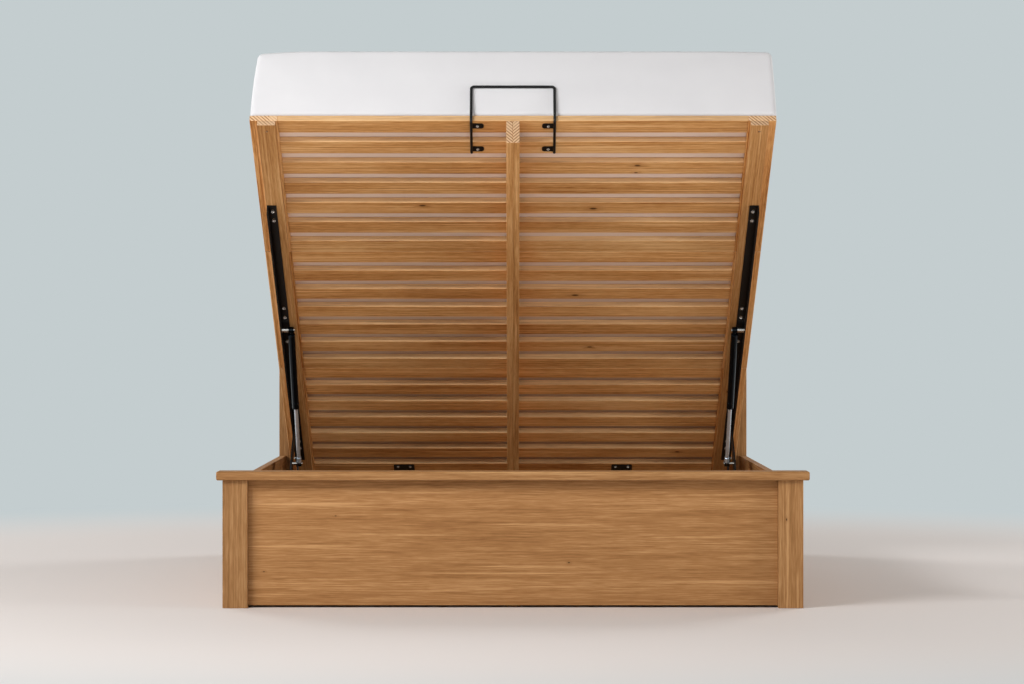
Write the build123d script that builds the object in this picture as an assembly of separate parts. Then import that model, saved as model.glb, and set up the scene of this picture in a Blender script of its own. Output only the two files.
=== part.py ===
from build123d import *
from math import atan2, cos, degrees, hypot, radians, sin
import os

# An ottoman storage bed, 5 ft wide, with its slatted deck held up on gas struts.
# +Z is up, the foot of the bed is at -Y and the head at +Y. Lengths are in millimetres.
# Places are worked out from the headboard's front plane, Y = 0, and each piece is moved
# to the centre of the bed's footprint when it is written.

# Bed frame, built round the shut deck
deck_side_gap = 29.0
deck_foot_gap = 15.8
post_width = 70.0
post_depth = 64.0
foot_height = 382.0
head_height = 1050.0
cap_thickness = 25.0
cap_overhang = 16.5
cap_easing = 5.0
board_easing = 2.0
panel_thickness = 22.0
panel_recess = 22.0
floor_gap = 6.5
rail_thickness = 23.0
rail_top = 340.0
rail_inset = 2.0

# Ledgers, storage floor and corner brackets
ledger_bearer_gap = 3.0
ledger_depth = 44.5
ledger_head_stop = 245.0
floor_board_thickness = 12.0
floor_ledger_width = 30.0
floor_ledger_depth = 30.0
floor_joist_width = 44.0
floor_panel_count = 3
floor_panel_joint = 1.0
bracket_leg = 38.0
bracket_height = 130.0
bracket_thickness = 3.0
bracket_drop = 25.0
bracket_screw_margin = 25.0

# Lifting deck: three slatted sections on two side bearers and a centre bearer
deck_margin = 6.0
section_names = ("head", "middle", "foot")
section_joint = 1.0
slats_per_section = 7
slat_width = 57.6
slat_thickness = 19.5
slat_easing = 2.0
side_board_width = 80.5
side_bearer_width = 52.3
side_bearer_depth = 16.0
side_bearer_inset = 22.3
centre_ply_width = 19.3
centre_bearer_depth = 78.0
bearer_easing = 1.5
end_hole_from_foot = 30.0
end_hole_radius = 4.0

# Deck places: shut on the ledgers, and up as photographed
lift_angle = 32.9
open_back = 161.4
open_height = 290.2
shut_back = 6.0
shut_height = 300.0
shut_clearance = 0.5

# Mattress
mattress_width = 1500.0
mattress_length = 1990.0
mattress_depth = 242.0
mattress_foot_setback = 2.0
mattress_head_setback = 6.2
mattress_corner = 20.0
mattress_edge = 14.0
mattress_crown = 5.0
mattress_clearance = 0.3

# Lifting handle, which also stops the mattress from sliding off
handle_rod_radius = 4.0
handle_width = 240.0
handle_leg = 148.0
handle_rise = 123.0
handle_bend = 8.0
handle_stand_off = 1.0
handle_seat = 0.3
tab_length = 36.0
tab_width = 22.0
tab_thickness = 2.5
tab_shares = (0.1534, 0.9034)

# Steel bars under the side bearers
bar_flange_width = 28.0
bar_web_depth = 30.0
bar_thickness = 4.0
bar_foot_end = 397.0
bar_head_end = 115.0
bar_inset = 2.0
bar_slot_length = 22.0
bar_slot_width = 7.0
bar_screw_shares = (0.0188, 0.0505, 0.3721, 0.4071, 0.5006, 0.9171, 0.9474)

# Linkage: levers and rear links between the side plates and the bars
link_thickness = 5.0
link_gap = 1.0
link_eye = 12.0
lever_knee = 14.0
pivot_drop = 34.0
lever_pivot_from_head = 345.0
link_pivot_from_head = 150.0
lever_foot_height = 165.0
link_foot_height = 135.0
pin_radius = 6.0
pin_fit = 0.08
pin_head_radius = 9.0
pin_head_thickness = 3.5
pin_head_gap = 0.5
side_plate_gap = 5.0
side_plate_thickness = 4.0
side_plate_margin = 48.0
side_plate_height = 140.0
side_plate_corner = 14.0
side_plate_screw_margin = 18.0

# Gas struts
stud_back = 620.0
stud_height = 340.0
stud_radius = 5.0
upper_stud_from_head = 947.6
upper_stud_drop = 35.0
strut_web_gap = 21.7
strut_eye_width = 16.0
strut_eye_radius = 10.0
strut_eye_gap = 0.5
stud_collar_radius = 8.0
stud_head_radius = 7.0
stud_head_thickness = 1.8
strut_tube_radius = 11.0
strut_tube_start = 16.0
strut_tube_length = 306.0
strut_tube_wall = 4.0
strut_tube_end_wall = 10.0
strut_tube_easing = 2.0
strut_neck_radius = 5.5
strut_rod_radius = 6.0
strut_rod_overlap = 42.0
strut_collar_radius = 8.0
strut_collar_length = 16.0

# Plates at the head end, under the last slat
head_plate_width = 70.0
head_plate_length = 42.0
head_plate_thickness = 3.0
head_plate_centre = 370.0
head_plate_corner = 5.0
head_plate_side_margin = 14.0
head_plate_end_margin = 11.0

# Screws
screw_radius = 2.5
screw_length = 14.0
screw_head_radius = 6.0
screw_head_thickness = 2.6
screw_fit = 0.25
small_screw_radius = 2.0
small_screw_length = 12.0
small_head_radius = 4.5
small_head_thickness = 2.2

# One overrun serves every cut
cut_overrun = 1.0

# Deck places, from the head end of the slats' underside
section_count = len(section_names)
deck_length = mattress_foot_setback + mattress_length + mattress_head_setback
section_length = (deck_length - (section_count - 1) * section_joint) / section_count
slat_gap = (section_length - slats_per_section * slat_width) / (slats_per_section - 1)
deck_half = mattress_width / 2 + deck_margin
side_board_inner = deck_half - side_board_width
bearer_outer = deck_half - side_bearer_inset
bearer_inner = bearer_outer - side_bearer_width
bar_outer = bearer_outer - bar_inset
bar_inner = bar_outer - bar_flange_width
web_inner = bar_outer - bar_thickness
bar_top = -side_bearer_depth
flange_face = bar_top - bar_thickness
link_outer = web_inner - link_gap
link_inner = link_outer - link_thickness
plate_inner = bar_outer + side_plate_gap
plate_outer = plate_inner + side_plate_thickness

# Frame places across, along and up
rail_inner = deck_half + deck_side_gap
rail_outer = rail_inner + rail_thickness
half_width = rail_outer + rail_inset
post_inner = half_width - post_width
inner_length = shut_back + deck_length + deck_foot_gap
foot_back = -inner_length
foot_front = foot_back - post_depth
foot_post_top = foot_height - cap_thickness
head_post_top = head_height - cap_thickness
ledger_inner = bearer_outer + ledger_bearer_gap
ledger_top = shut_height - shut_clearance
ledger_bottom = ledger_top - ledger_depth
floor_top = floor_gap + floor_ledger_depth + floor_board_thickness


def box(x0, x1, y0, y1, z0, z1):
    middle = ((x0 + x1) / 2, (y0 + y1) / 2, (z0 + z1) / 2)
    return Pos(*middle) * Box(abs(x1 - x0), abs(y1 - y0), abs(z1 - z0))


def board(x0, x1, y0, y1, z0, z1, easing=board_easing):
    """A board whose edges are all eased, by no more than its thickness allows."""
    thinnest = min(abs(x1 - x0), abs(y1 - y0), abs(z1 - z0))
    plain = box(x0, x1, y0, y1, z0, z1)
    return fillet(plain.edges(), min(easing, thinnest / 3))


def rod_across(radius, x0, x1, spot):
    """A round bar along X through a (y, z) spot."""
    middle = Pos((x0 + x1) / 2, spot[0], spot[1])
    return middle * Rot(0, 90, 0) * Cylinder(radius, abs(x1 - x0))


def rod_between(radius, start, end):
    path = Vector(*end) - Vector(*start)
    base = Plane(origin=start, z_dir=path)
    return extrude(base * Circle(radius), path.length)


def screw(spot, direction, radius=screw_radius, length=screw_length,
          head_radius=screw_head_radius, head=screw_head_thickness):
    """A domed screw seated at a spot, its shank along direction."""
    seat = Plane(origin=spot, z_dir=direction)
    shank = extrude(seat * Circle(radius), length)
    dome = extrude(seat * Circle(head_radius), -head)
    rim = dome.faces().sort_by(Axis(spot, direction))[0].edges()
    return shank + fillet(rim, head / 2)


def screw_hole(spot, direction, radius=screw_radius, length=screw_length):
    start = Vector(*spot) - Vector(*direction).normalized() * length
    end = Vector(*spot) + Vector(*direction).normalized() * (length + screw_fit)
    return rod_between(radius + screw_fit, tuple(start), tuple(end))


def drilled(solid, holes):
    for hole in holes:
        solid = solid - hole
    return solid


def across(solid):
    """The same piece on the other side of the bed."""
    return mirror(solid, about=Plane.YZ)


def both_sides(solids):
    return Compound(children=solids + [across(solid) for solid in solids])


def plate_outline(spots, radii):
    """The taut outline round some eyes, drawn in the plane of the bed's side."""
    eyes = [Pos(*spot) * Circle(radius) for spot, radius in zip(spots, radii)]
    rims = [edge for eye in eyes for edge in eye.edges()]
    return make_hull(rims)


def side_plane(x):
    return Plane(origin=(x, 0, 0), x_dir=(0, 1, 0), z_dir=(1, 0, 0))


# The deck's own frame: Y = 0 at its head end, Z = 0 at the slats' underside
def deck_spot(from_head, drop, angle, back, height):
    tilt = radians(angle)
    y = -back - from_head * cos(tilt) - drop * sin(tilt)
    z = height + from_head * sin(tilt) - drop * cos(tilt)
    return (y, z)


def open_spot(from_head, drop):
    return deck_spot(from_head, drop, lift_angle, open_back, open_height)


def shut_spot(from_head, drop):
    return deck_spot(from_head, drop, 0, shut_back, shut_height)


deck_place = Location((0, -open_back, open_height), (-lift_angle, 0, 0))


# A link's fixed pivot is as far from its deck pivot shut as open
def fixed_pivot(from_head, height):
    first = open_spot(from_head, pivot_drop)
    last = shut_spot(from_head, pivot_drop)
    middle = ((first[0] + last[0]) / 2, (first[1] + last[1]) / 2)
    move = (last[0] - first[0], last[1] - first[1])
    along = (height - middle[1]) / move[0]
    return (middle[0] - along * move[1], height)


def heading(start, end):
    return degrees(atan2(end[1] - start[1], end[0] - start[0]))


lever_top = open_spot(lever_pivot_from_head, pivot_drop)
lever_foot = fixed_pivot(lever_pivot_from_head, lever_foot_height)
link_top = open_spot(link_pivot_from_head, pivot_drop)
link_foot = fixed_pivot(link_pivot_from_head, link_foot_height)
lower_stud = (-stud_back, stud_height)
upper_stud = open_spot(upper_stud_from_head, upper_stud_drop)

pieces = {}


# The footboard: two posts, a recessed panel and a cap that overhangs in front
def make_end_board(prefix, front, back, panel_front, post_top, cap_front, cap_back):
    post = board(post_inner, half_width, front, back, 0, post_top)
    pieces[prefix + "_post_right"] = post
    pieces[prefix + "_post_left"] = across(post)
    pieces[prefix + "_panel"] = board(
        -post_inner, post_inner, panel_front, panel_front + panel_thickness,
        floor_gap, post_top, board_easing / 2,
    )
    cap_half = half_width + cap_overhang
    pieces[prefix + "_cap"] = board(
        -cap_half, cap_half, cap_front, cap_back, post_top, post_top + cap_thickness,
        cap_easing,
    )


make_end_board(
    "foot", foot_front, foot_back, foot_front + panel_recess, foot_post_top,
    foot_front - cap_overhang, foot_back,
)
make_end_board(
    "head", 0, post_depth, panel_recess, head_post_top, -cap_overhang, post_depth,
)

# Side rails between the posts, with a ledger that the shut deck lies on
rail = board(rail_inner, rail_outer, foot_back, 0, floor_gap, rail_top)
ledger = board(
    ledger_inner, rail_inner, foot_back, -ledger_head_stop, ledger_bottom, ledger_top,
)

# Storage floor: loose boards on ledgers, a centre joist and two end cleats
floor_ledger = box(
    rail_inner - floor_ledger_width, rail_inner, foot_back, 0,
    floor_gap, floor_gap + floor_ledger_depth,
)
pieces["floor_joist"] = box(
    -floor_joist_width / 2, floor_joist_width / 2, foot_back, 0,
    0, floor_gap + floor_ledger_depth,
)
panel_back = foot_front + panel_recess + panel_thickness
pieces["foot_floor_cleat"] = box(
    -post_inner, post_inner, panel_back, foot_back, floor_gap, floor_top,
)
pieces["head_floor_cleat"] = box(
    -post_inner, post_inner, 0, panel_recess, floor_gap, floor_top,
)
floor_pitch = inner_length / floor_panel_count
for number in range(floor_panel_count):
    start = foot_back + number * floor_pitch
    pieces[f"floor_panel_{number + 1}"] = box(
        -rail_inner, rail_inner, start, start + floor_pitch - floor_panel_joint,
        floor_gap + floor_ledger_depth, floor_top,
    )

# Corner brackets: one steel angle in each corner, screwed to the rail and the post
bracket_top = ledger_bottom - bracket_drop
bracket_bottom = bracket_top - bracket_height
bracket_levels = (bracket_bottom + bracket_screw_margin, bracket_top - bracket_screw_margin)


def corner_bracket(wall, inwards):
    """An angle whose legs lie on the rail and on a post's face at Y = wall."""
    rail_leg = box(
        rail_inner - bracket_thickness, rail_inner, wall, wall + inwards * bracket_leg,
        bracket_bottom, bracket_top,
    )
    post_leg = box(
        rail_inner - bracket_leg, rail_inner, wall, wall + inwards * bracket_thickness,
        bracket_bottom, bracket_top,
    )
    return rail_leg + post_leg


rail_spots = []
post_spots = []
for wall, inwards in ((foot_back, 1), (0, -1)):
    for level in bracket_levels:
        leg_middle = (bracket_leg + bracket_thickness) / 2
        on_rail = (rail_inner - bracket_thickness, wall + inwards * leg_middle, level)
        on_post = (rail_inner - leg_middle, wall + inwards * bracket_thickness, level)
        rail_spots.append((on_rail, (1, 0, 0)))
        post_spots.append((on_post, (0, -inwards, 0)))
rail_holes = [screw_hole(*spot) for spot in rail_spots]
post_holes = [screw_hole(*spot) for spot in post_spots]
brackets = [
    drilled(bracket, rail_holes + post_holes)
    for bracket in (corner_bracket(foot_back, 1), corner_bracket(0, -1))
]
rail = drilled(rail, rail_holes)
pieces["corner_brackets"] = both_sides(brackets)
pieces["corner_screws"] = both_sides([screw(*spot) for spot in rail_spots + post_spots])
for end in ("foot", "head"):
    post = drilled(pieces[end + "_post_right"], post_holes)
    pieces[end + "_post_right"] = post
    pieces[end + "_post_left"] = across(post)

# Side plates carry the fixed pivots. A timber packer fills the space to the rail.
plate_foot_end = lever_foot[0] - side_plate_margin
plate_head_end = link_foot[0] + side_plate_margin
plate_middle = (lever_foot_height + link_foot_height) / 2
plate_top = plate_middle + side_plate_height / 2
plate_bottom = plate_middle - side_plate_height / 2
side_plate = box(
    plate_inner, plate_outer, plate_foot_end, plate_head_end, plate_bottom, plate_top,
)
side_plate = fillet(side_plate.edges().filter_by(Axis.X), side_plate_corner)
packer = box(
    plate_outer, rail_inner, plate_foot_end, plate_head_end, plate_bottom, ledger_bottom,
)
plate_spots = []
for y in (plate_foot_end + side_plate_screw_margin, (plate_foot_end + plate_head_end) / 2,
          plate_head_end - side_plate_screw_margin):
    for z in (plate_bottom + side_plate_screw_margin, plate_top - side_plate_screw_margin):
        plate_spots.append(((plate_inner, y, z), (1, 0, 0)))
plate_holes = [
    screw_hole(spot, direction, small_screw_radius, small_screw_length)
    for spot, direction in plate_spots
]
pin_holes = [rod_across(pin_radius, plate_inner, plate_outer, spot)
             for spot in (lever_foot, link_foot)]
side_plate = drilled(side_plate, plate_holes + pin_holes)
packer = drilled(packer, plate_holes)
plate_screws = [
    screw(spot, direction, small_screw_radius, small_screw_length,
          small_head_radius, small_head_thickness)
    for spot, direction in plate_spots
]

# Hinge pins: each is fixed in one piece, and the link turns on it
def headed_pin(spot, tail):
    """A pin whose head holds a link on it, its shank ending at X = tail."""
    head_seat = link_inner - pin_head_gap
    shank = rod_across(pin_radius, head_seat, tail, spot)
    return shank + rod_across(pin_head_radius, head_seat - pin_head_thickness, head_seat, spot)


fixed_pins = [headed_pin(lever_foot, plate_outer), headed_pin(link_foot, plate_outer)]
pieces["fixed_pins"] = both_sides(fixed_pins)

# Levers: cranked plates from the side plates to the bars. The strut pushes at the knee.
lever_outline = plate_outline(
    (lever_foot, lower_stud, lever_top), (link_eye, lever_knee, link_eye),
)
lever = extrude(side_plane(link_inner) * lever_outline, link_thickness)
lever = lever - rod_across(
    pin_radius + pin_fit, link_inner - cut_overrun, link_outer + cut_overrun, lever_foot,
)
lever = lever - rod_across(stud_radius, link_inner, link_outer, lower_stud)
lever = lever - rod_across(pin_radius, link_inner, link_outer, lever_top)

# The pin at a lever's top stops flush with the lever, short of the bar's web
lever_top_pin = headed_pin(lever_top, link_outer)
pieces["lever_top_pins"] = both_sides([lever_top_pin])

# Rear links
link_outline = plate_outline((link_foot, link_top), (link_eye, link_eye))
rear_link = extrude(side_plane(link_inner) * link_outline, link_thickness)
rear_link = drilled(rear_link, [
    rod_across(pin_radius + pin_fit, link_inner - cut_overrun, link_outer + cut_overrun, spot)
    for spot in (link_foot, link_top)
])

# Gas struts, from the lever's knee up to the bar
strut_outer = web_inner - strut_web_gap
strut_inner = strut_outer - strut_eye_width
strut_plane = (strut_inner + strut_outer) / 2
strut_length = hypot(upper_stud[0] - lower_stud[0], upper_stud[1] - lower_stud[1])
strut_way = ((lower_stud[0] - upper_stud[0]) / strut_length,
             (lower_stud[1] - upper_stud[1]) / strut_length)


def strut_spot(distance):
    """A point on the strut's axis, so far below its upper stud."""
    y = upper_stud[0] + distance * strut_way[0]
    z = upper_stud[1] + distance * strut_way[1]
    return (strut_plane, y, z)


tube_end = strut_tube_start + strut_tube_length
tube = rod_between(strut_tube_radius, strut_spot(strut_tube_start), strut_spot(tube_end))
tube = fillet(tube.edges().filter_by(GeomType.CIRCLE), strut_tube_easing)
bore_radius = strut_tube_radius - strut_tube_wall
bore = rod_between(
    bore_radius, strut_spot(strut_tube_start + strut_tube_end_wall),
    strut_spot(tube_end + cut_overrun),
)
neck = rod_between(strut_neck_radius, strut_spot(0), strut_spot(strut_tube_start))
eye = rod_across(strut_eye_radius, strut_inner, strut_outer, upper_stud)
pin_hole = rod_across(stud_radius, strut_inner, strut_outer, upper_stud)
cylinder = drilled(tube + neck + eye, [bore, pin_hole])

rod = rod_between(
    strut_rod_radius, strut_spot(tube_end - strut_rod_overlap), strut_spot(strut_length),
)
collar = rod_between(
    strut_collar_radius, strut_spot(strut_length - strut_eye_radius - strut_collar_length),
    strut_spot(strut_length - strut_eye_radius / 2),
)
rod = rod + collar + rod_across(strut_eye_radius, strut_inner, strut_outer, lower_stud)
rod = rod - rod_across(
    stud_radius + pin_fit, strut_inner - cut_overrun, strut_outer + cut_overrun, lower_stud,
)


def headed_stud(spot, tail):
    """A stud through a strut's eye, with its head on the eye's inner side."""
    seat = strut_inner - pin_head_gap
    shank = rod_across(stud_radius, seat, tail, spot)
    return shank + rod_across(stud_head_radius, seat - stud_head_thickness, seat, spot)


# The lower stud is fixed in the lever. The upper eye's own pin stops flush with the eye.
pieces["lower_strut_studs"] = both_sides([headed_stud(lower_stud, link_outer)])
pieces["upper_eye_pins"] = both_sides([headed_stud(upper_stud, strut_outer)])

# The deck's timber: every board is laid flat in the deck's frame, then lifted
deck_pieces = {}
deck_foot = -deck_length

# The handle: one bent rod under the first slats and up the mattress, on four tabs
rod_level = -handle_seat - handle_rod_radius
rod_front = deck_foot - handle_stand_off - handle_rod_radius
rod_half = handle_width / 2
rod_tail = deck_foot + handle_leg
rod_top = rod_level + handle_rise
rod_line = FilletPolyline(
    (-rod_half, rod_tail, rod_level), (-rod_half, rod_front, rod_level),
    (-rod_half, rod_front, rod_top), (rod_half, rod_front, rod_top),
    (rod_half, rod_front, rod_level), (rod_half, rod_tail, rod_level),
    radius=handle_bend,
)
handle = sweep(Plane(rod_line @ 0, z_dir=rod_line % 0) * Circle(handle_rod_radius), rod_line)
handle_spots = []
for share in tab_shares:
    tab_y = deck_foot + share * handle_leg
    for side in (-1, 1):
        tab_end = side * (rod_half - tab_length)
        tab = box(
            side * rod_half, tab_end, tab_y - tab_width / 2, tab_y + tab_width / 2,
            -tab_thickness, 0,
        )
        corners = tab.edges().filter_by(Axis.Z)
        inner_corners = [edge for edge in corners
                         if abs(edge.center().X - tab_end) < tab_thickness]
        handle = handle + fillet(inner_corners, tab_width / 2 - tab_thickness)
        screw_x = side * (rod_half - tab_length / 2)
        handle_spots.append(((screw_x, tab_y, -tab_thickness), (0, 0, 1)))
small = (small_screw_radius, small_screw_length)
small_head = (small_head_radius, small_head_thickness)
handle_holes = [screw_hole(*spot, *small) for spot in handle_spots]
deck_pieces["lift_handle"] = drilled(handle, handle_holes)
deck_pieces["handle_screws"] = Compound(
    children=[screw(*spot, *small, *small_head) for spot in handle_spots]
)

# Two flat plates under the last slat, at the head end
plate_start = slat_width - head_plate_end_margin / 2
head_plates = []
head_plate_spots = []
for side in (-1, 1):
    centre = side * head_plate_centre
    plate = box(
        centre - head_plate_width / 2, centre + head_plate_width / 2,
        -plate_start, -plate_start + head_plate_length, -head_plate_thickness, 0,
    )
    head_plates.append(fillet(plate.edges().filter_by(Axis.Z), head_plate_corner))
    for turn in (-1, 1):
        spot_x = centre + turn * (head_plate_width / 2 - head_plate_side_margin)
        spot = (spot_x, head_plate_end_margin - plate_start, -head_plate_thickness)
        head_plate_spots.append((spot, (0, 0, 1)))
head_plate_holes = [screw_hole(*spot, *small) for spot in head_plate_spots]
deck_pieces["head_plates"] = Compound(
    children=[drilled(plate, head_plate_holes) for plate in head_plates]
)
deck_pieces["head_plate_screws"] = Compound(
    children=[screw(*spot, *small, *small_head) for spot in head_plate_spots]
)

# Three sections: seven slats between two side boards, butted end to end
slat_holes = {"head": head_plate_holes, "middle": [], "foot": handle_holes}
for number, name in enumerate(section_names):
    start = number * (section_length + section_joint)
    slats = []
    for row in range(slats_per_section):
        near = start + row * (slat_width + slat_gap)
        slat = board(
            -side_board_inner, side_board_inner, -near - slat_width, -near,
            0, slat_thickness, slat_easing,
        )
        slats.append(drilled(slat, slat_holes[name]))
    deck_pieces["slats_" + name] = Compound(children=slats)
    side_board = board(
        side_board_inner, deck_half, -start - section_length, -start, 0, slat_thickness,
    )
    deck_pieces["side_boards_" + name] = both_sides([side_board])

# Bearers: one flat under each side, and two plies on edge down the middle
bar_start = deck_foot + bar_foot_end
bar_length = deck_length - bar_foot_end - bar_head_end
bar_screw_x = (bar_inner + web_inner) / 2
bar_spots = [
    ((bar_screw_x, bar_start + share * bar_length, flange_face), (0, 0, 1))
    for share in bar_screw_shares
]
bar_holes = [screw_hole(*spot) for spot in bar_spots]
side_bearer = board(
    bearer_inner, bearer_outer, deck_foot, 0, -side_bearer_depth, 0, bearer_easing,
)
bearer_middle = (bearer_inner + bearer_outer) / 2
end_hole = Pos(bearer_middle, deck_foot + end_hole_from_foot, -side_bearer_depth / 2)
end_hole = end_hole * Cylinder(end_hole_radius, side_bearer_depth)
side_bearer = drilled(side_bearer, bar_holes + [end_hole])
deck_pieces["side_bearer_right"] = side_bearer
deck_pieces["side_bearer_left"] = across(side_bearer)
centre_ply = board(0, centre_ply_width, deck_foot, 0, -centre_bearer_depth, 0, bearer_easing)
deck_pieces["centre_bearer_right"] = centre_ply
deck_pieces["centre_bearer_left"] = across(centre_ply)

# Angle bars, with their flange on the bearer and their web on its outer side
bar_end = bar_start + bar_length
bar = box(bar_inner, bar_outer, bar_start, bar_end, flange_face, bar_top)
bar = bar + box(web_inner, bar_outer, bar_start, bar_end, bar_top - bar_web_depth, bar_top)
for spot, direction in bar_spots:
    slot_plane = Plane(origin=spot, x_dir=(0, 1, 0), z_dir=direction)
    bar = bar - extrude(slot_plane * SlotOverall(bar_slot_length, bar_slot_width), bar_thickness)
web_pivots = (
    ((-lever_pivot_from_head, -pivot_drop), pin_radius + pin_fit),
    ((-link_pivot_from_head, -pivot_drop), pin_radius),
    ((-upper_stud_from_head, -upper_stud_drop), stud_radius),
)
for spot, radius in web_pivots:
    bar = bar - rod_across(radius, web_inner, bar_outer, spot)
deck_pieces["lift_bar_right"] = bar
deck_pieces["lift_bar_left"] = across(bar)
deck_pieces["bar_screws"] = both_sides([screw(*spot) for spot in bar_spots])

# Pins fixed in the bar's web: one for the rear link, one stub beside the strut's eye
link_spot = web_pivots[1][0]
outer_head = rod_across(
    pin_head_radius, bar_outer, bar_outer + pin_head_thickness, link_spot,
)
deck_pieces["rear_link_pins"] = both_sides([headed_pin(link_spot, bar_outer) + outer_head])
stub_spot = web_pivots[2][0]
stub_end = strut_outer + strut_eye_gap
stub = rod_across(stud_radius, stub_end, bar_outer, stub_spot)
stub = stub + rod_across(stud_collar_radius, stub_end + strut_eye_gap, web_inner, stub_spot)
deck_pieces["upper_stud_stubs"] = both_sides([stub])

# The mattress: square sides with rounded corners and a slightly crowned top
mattress_bottom = slat_thickness + mattress_clearance
mattress_top = mattress_bottom + mattress_depth
shoulder = mattress_top - mattress_crown
mattress_foot = deck_foot + mattress_foot_setback
mattress_head = mattress_foot + mattress_length
mattress_middle = (mattress_foot + mattress_head) / 2
outline = Polyline(
    (mattress_foot, shoulder), (mattress_foot, mattress_bottom),
    (mattress_head, mattress_bottom), (mattress_head, shoulder),
)
crown = ThreePointArc(
    (mattress_head, shoulder), (mattress_middle, mattress_top), (mattress_foot, shoulder),
)
mattress_side = make_face(outline.edges() + crown.edges())
mattress = extrude(side_plane(-mattress_width / 2) * mattress_side, mattress_width)
mattress = fillet(mattress.edges().filter_by(Axis.Z), mattress_corner)
rims = [face.edges() for face in (mattress.faces().sort_by(Axis.Z)[0],
                                  mattress.faces().sort_by(Axis.Z)[-1])]
mattress = fillet([edge for rim in rims for edge in rim], mattress_edge)
deck_pieces["mattress"] = mattress

for name, piece in deck_pieces.items():
    pieces[name] = deck_place * piece

# The rest of the sided pieces
sided = {
    "side_rail": rail, "side_ledger": ledger, "floor_ledger": floor_ledger,
    "side_plate": side_plate, "plate_packer": packer, "lever": lever,
    "rear_link": rear_link, "strut_cylinder": cylinder, "strut_rod": rod,
}
for name, piece in sided.items():
    pieces[name + "_right"] = piece
    pieces[name + "_left"] = across(piece)
pieces["plate_screws"] = both_sides(plate_screws)

# Write every piece, with the middle of the bed's footprint at the origin
y_middle = (foot_front - cap_overhang + post_depth) / 2
os.makedirs("parts", exist_ok=True)
for name, piece in pieces.items():
    export_step(Pos(0, -y_middle, 0) * piece, f"parts/{name}.step")

# Joint places and travels for the record, as (y, z) in millimetres and in degrees
lever_shut = shut_spot(lever_pivot_from_head, pivot_drop)
link_shut = shut_spot(link_pivot_from_head, pivot_drop)
lever_turn = heading(lever_foot, lever_shut) - heading(lever_foot, lever_top)
link_turn = heading(link_foot, link_shut) - heading(link_foot, link_top)
knee_arm = hypot(lower_stud[0] - lever_foot[0], lower_stud[1] - lever_foot[1])
knee_shut_heading = radians(heading(lever_foot, lower_stud) + lever_turn)
knee_shut = (lever_foot[0] + knee_arm * cos(knee_shut_heading),
             lever_foot[1] + knee_arm * sin(knee_shut_heading))
stub_shut = shut_spot(upper_stud_from_head, upper_stud_drop)
strut_shut = hypot(stub_shut[0] - knee_shut[0], stub_shut[1] - knee_shut[1])
strut_turn = heading(knee_shut, stub_shut) - heading(lower_stud, upper_stud) - lever_turn
for name, spot in (("lever_foot", lever_foot), ("lever_top", lever_top),
                   ("link_foot", link_foot), ("link_top", link_top),
                   ("lower_stud", lower_stud), ("upper_stud", upper_stud)):
    print(name, round(spot[0] - y_middle, 3), round(spot[1], 3))
print("link turn", round(link_turn, 4), "lever turn", round(lever_turn, 4))
print("deck turn on link", round(lift_angle - link_turn, 4))
print("strut turn on lever", round(strut_turn, 4), "slide", round(strut_length - strut_shut, 4))
print("strut way", round(strut_way[0], 6), round(strut_way[1], 6))
print("knee shut", round(knee_shut[0] - y_middle, 2), round(knee_shut[1], 2))
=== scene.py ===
import math

import bmesh
import bpy
from mathutils import Matrix, Vector


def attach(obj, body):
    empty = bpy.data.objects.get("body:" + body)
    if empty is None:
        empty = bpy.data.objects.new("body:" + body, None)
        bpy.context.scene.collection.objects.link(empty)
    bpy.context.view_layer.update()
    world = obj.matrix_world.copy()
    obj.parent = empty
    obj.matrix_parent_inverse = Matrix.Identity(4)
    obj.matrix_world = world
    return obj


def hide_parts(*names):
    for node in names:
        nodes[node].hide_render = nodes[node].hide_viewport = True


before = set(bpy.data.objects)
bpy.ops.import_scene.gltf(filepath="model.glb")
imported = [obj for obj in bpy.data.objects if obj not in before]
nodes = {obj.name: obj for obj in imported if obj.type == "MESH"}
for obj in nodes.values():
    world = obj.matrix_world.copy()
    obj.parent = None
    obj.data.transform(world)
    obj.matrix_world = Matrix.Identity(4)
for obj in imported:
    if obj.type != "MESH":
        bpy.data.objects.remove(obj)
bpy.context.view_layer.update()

# The oak end boards: two posts, a recessed panel and a cap at the foot and at the head.
# Planed and oiled oak, its grain along each piece and every edge eased.


class Number:
    """One socket's value, so that shader maths reads as sums."""

    def __init__(self, graph, socket):
        self.graph = graph
        self.socket = socket

    def math(self, operation, first, second=0.0):
        return self.graph.add("ShaderNodeMath", {"operation": operation}, {0: first, 1: second})

    def __add__(self, other):
        return self.math("ADD", self, other)

    def __radd__(self, other):
        return self.math("ADD", other, self)

    def __sub__(self, other):
        return self.math("SUBTRACT", self, other)

    def __rsub__(self, other):
        return self.math("SUBTRACT", other, self)

    def __mul__(self, other):
        return self.math("MULTIPLY", self, other)

    def __rmul__(self, other):
        return self.math("MULTIPLY", other, self)

    def __truediv__(self, other):
        return self.math("DIVIDE", self, other)

    def floor(self):
        return self.math("FLOOR", self)

    def root(self):
        return self.math("SQRT", self)

    def wave(self):
        return self.math("SINE", self)

    def size(self):
        return self.math("ABSOLUTE", self)

    def above(self, edge):
        return self.math("GREATER_THAN", self, edge)

    def most(self, other):
        return self.math("MAXIMUM", self, other)


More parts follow.
